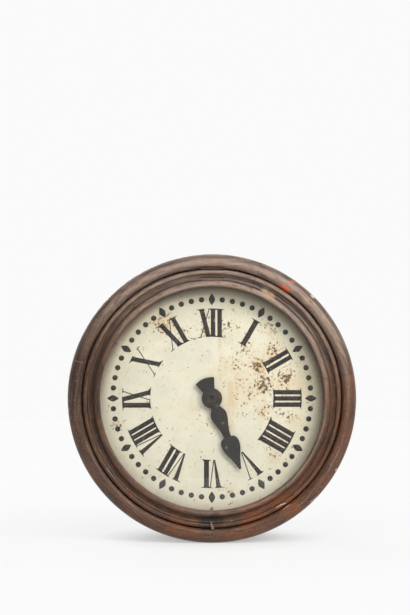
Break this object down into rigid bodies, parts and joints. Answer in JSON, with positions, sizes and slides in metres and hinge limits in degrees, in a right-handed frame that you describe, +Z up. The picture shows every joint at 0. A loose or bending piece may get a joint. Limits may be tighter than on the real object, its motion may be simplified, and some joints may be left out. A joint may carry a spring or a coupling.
{
  "type": "double-faced clock",
  "caption": "Large round hanging clock with two faces, a wooden drum case, glazed doors, Roman dials, spade hands and an impulse movement behind each dial.",
  "frame": {"origin": "on the common line of the two hand arbors, half way through the depth of the drum", "axes": "+X to the right as the front face is seen, the front face looks towards -Y, +Z up towards the suspension"},
  "size_m": [0.58, 0.22, 0.58],
  "materials": {
    "case_wood": "worn brown varnish",
    "drum_wood": "dark stained",
    "dial_paint": "aged ivory paint",
    "hand_paint": "satin black paint",
    "window_glass": "clear",
    "brass": "dull brass",
    "steel": "bright steel",
    "iron": "dark iron",
    "coil_wire": "varnished cotton covered wire",
    "ebonite": "moulded ebonite",
    "lead_cover": "braided cotton"
  },
  "bodies": {
    "case": {"drum": "drum_wood", "movement_board": "drum_wood", "movement_screws": "steel", "suspension_saddle": "drum_wood", "suspension_flange": "iron", "suspension_plate": "iron", "suspension_bolts": "steel", "front_case_ring": "case_wood", "front_dial": "dial_paint", "front_dial_screws": "steel", "front_hinge_leaf": "iron", "front_back_plate": "brass", "front_front_plate": "brass", "front_pillars": "brass", "front_hour_bridge": "brass", "front_magnet_yoke": "iron", "front_coils": "coil_wire", "front_terminals": "ebonite", "front_lead": "lead_cover", "rear_case_ring": "case_wood", "rear_dial": "dial_paint", "rear_dial_screws": "steel", "rear_hinge_leaf": "iron", "rear_back_plate": "brass", "rear_front_plate": "brass", "rear_pillars": "brass", "rear_hour_bridge": "brass", "rear_magnet_yoke": "iron", "rear_coils": "coil_wire", "rear_terminals": "ebonite", "rear_lead": "lead_cover"},
    "front_door": {"front_door_ring": "case_wood", "front_glass": "window_glass", "front_glazing_ring": "drum_wood", "front_hinge_strap": "iron"},
    "front_catch_body": {"front_catch": "steel"},
    "front_minute": {"front_minute_arbor": "steel", "front_ratchet_wheel": "brass"},
    "front_motion": {"front_motion_wheel": "brass"},
    "front_hour": {"front_hour_wheel": "brass", "front_hour_hand": "hand_paint"},
    "front_armature_body": {"front_armature": "iron"},
    "front_pawl_body": {"front_drive_pawl": "steel"},
    "front_click_body": {"front_click": "steel"},
    "rear_door": {"rear_door_ring": "case_wood", "rear_glass": "window_glass", "rear_glazing_ring": "drum_wood", "rear_hinge_strap": "iron"},
    "rear_catch_body": {"rear_catch": "steel"},
    "rear_minute": {"rear_minute_arbor": "steel", "rear_ratchet_wheel": "brass", "rear_minute_hand": "hand_paint", "rear_hand_nut": "brass"},
    "rear_motion": {"rear_motion_wheel": "brass"},
    "rear_hour": {"rear_hour_wheel": "brass", "rear_hour_hand": "hand_paint"},
    "rear_armature_body": {"rear_armature": "iron"},
    "rear_pawl_body": {"rear_drive_pawl": "steel"},
    "rear_click_body": {"rear_click": "steel"}
  },
  "joints": [
    {"name": "front_door_hinge", "type": "hinge", "parent": "case", "child": "front_door", "pos_m": [0, -0.107, 0.2599], "axis": [-1, 0, 0], "range_deg": [0, 95]},
    {"name": "front_catch_turn", "type": "hinge", "parent": "front_door", "child": "front_catch_body", "pos_m": [0, -0.108, -0.2543], "axis": [0, -1, 0], "range_deg": [0, 75]},
    {"name": "front_minute_turn", "type": "hinge", "parent": "case", "child": "front_minute", "pos_m": [0, 0, 0], "axis": [0, 1, 0], "continuous": true},
    {"name": "front_motion_turn", "type": "hinge", "parent": "case", "child": "front_motion", "pos_m": [0, 0, -0.024], "axis": [0, 1, 0], "continuous": true},
    {"name": "front_hour_turn", "type": "hinge", "parent": "case", "child": "front_hour", "pos_m": [0, 0, 0], "axis": [0, 1, 0], "continuous": true},
    {"name": "front_armature_rock", "type": "hinge", "parent": "case", "child": "front_armature_body", "pos_m": [-0.034, -0.026, 0.029], "axis": [0, -1, 0], "range_deg": [0, 2.5]},
    {"name": "front_pawl_lift", "type": "hinge", "parent": "front_armature_body", "child": "front_pawl_body", "pos_m": [0.031, -0.027, 0.028], "axis": [0, -1, 0], "range_deg": [0, 8], "stiffness_Nm_per_rad": 0.01, "springref_deg": -5.73},
    {"name": "front_click_lift", "type": "hinge", "parent": "case", "child": "front_click_body", "pos_m": [-0.031, -0.027, -0.02], "axis": [0, -1, 0], "range_deg": [0, 8], "stiffness_Nm_per_rad": 0.01, "springref_deg": -5.73},
    {"name": "rear_door_hinge", "type": "hinge", "parent": "case", "child": "rear_door", "pos_m": [0, 0.107, 0.2599], "axis": [1, 0, 0], "range_deg": [0, 95]},
    {"name": "rear_catch_turn", "type": "hinge", "parent": "rear_door", "child": "rear_catch_body", "pos_m": [0, 0.108, -0.2543], "axis": [0, 1, 0], "range_deg": [0, 75]},
    {"name": "rear_minute_turn", "type": "hinge", "parent": "case", "child": "rear_minute", "pos_m": [0, 0, 0], "axis": [0, -1, 0], "continuous": true},
    {"name": "rear_motion_turn", "type": "hinge", "parent": "case", "child": "rear_motion", "pos_m": [0, 0, -0.024], "axis": [0, -1, 0], "continuous": true},
    {"name": "rear_hour_turn", "type": "hinge", "parent": "case", "child": "rear_hour", "pos_m": [0, 0, 0], "axis": [0, -1, 0], "continuous": true},
    {"name": "rear_armature_rock", "type": "hinge", "parent": "case", "child": "rear_armature_body", "pos_m": [0.034, 0.026, 0.029], "axis": [0, 1, 0], "range_deg": [0, 2.5]},
    {"name": "rear_pawl_lift", "type": "hinge", "parent": "rear_armature_body", "child": "rear_pawl_body", "pos_m": [-0.031, 0.027, 0.028], "axis": [0, 1, 0], "range_deg": [0, 8], "stiffness_Nm_per_rad": 0.01, "springref_deg": -5.73},
    {"name": "rear_click_lift", "type": "hinge", "parent": "case", "child": "rear_click_body", "pos_m": [0.031, 0.027, -0.02], "axis": [0, 1, 0], "range_deg": [0, 8], "stiffness_Nm_per_rad": 0.01, "springref_deg": -5.73}
  ],
  "couplings": [
    {"joint": "front_motion_turn", "follows": "front_minute_turn", "ratio": -0.33333},
    {"joint": "front_hour_turn", "follows": "front_minute_turn", "ratio": 0.083333},
    {"joint": "rear_motion_turn", "follows": "rear_minute_turn", "ratio": -0.33333},
    {"joint": "rear_hour_turn", "follows": "rear_minute_turn", "ratio": 0.083333}
  ]
}
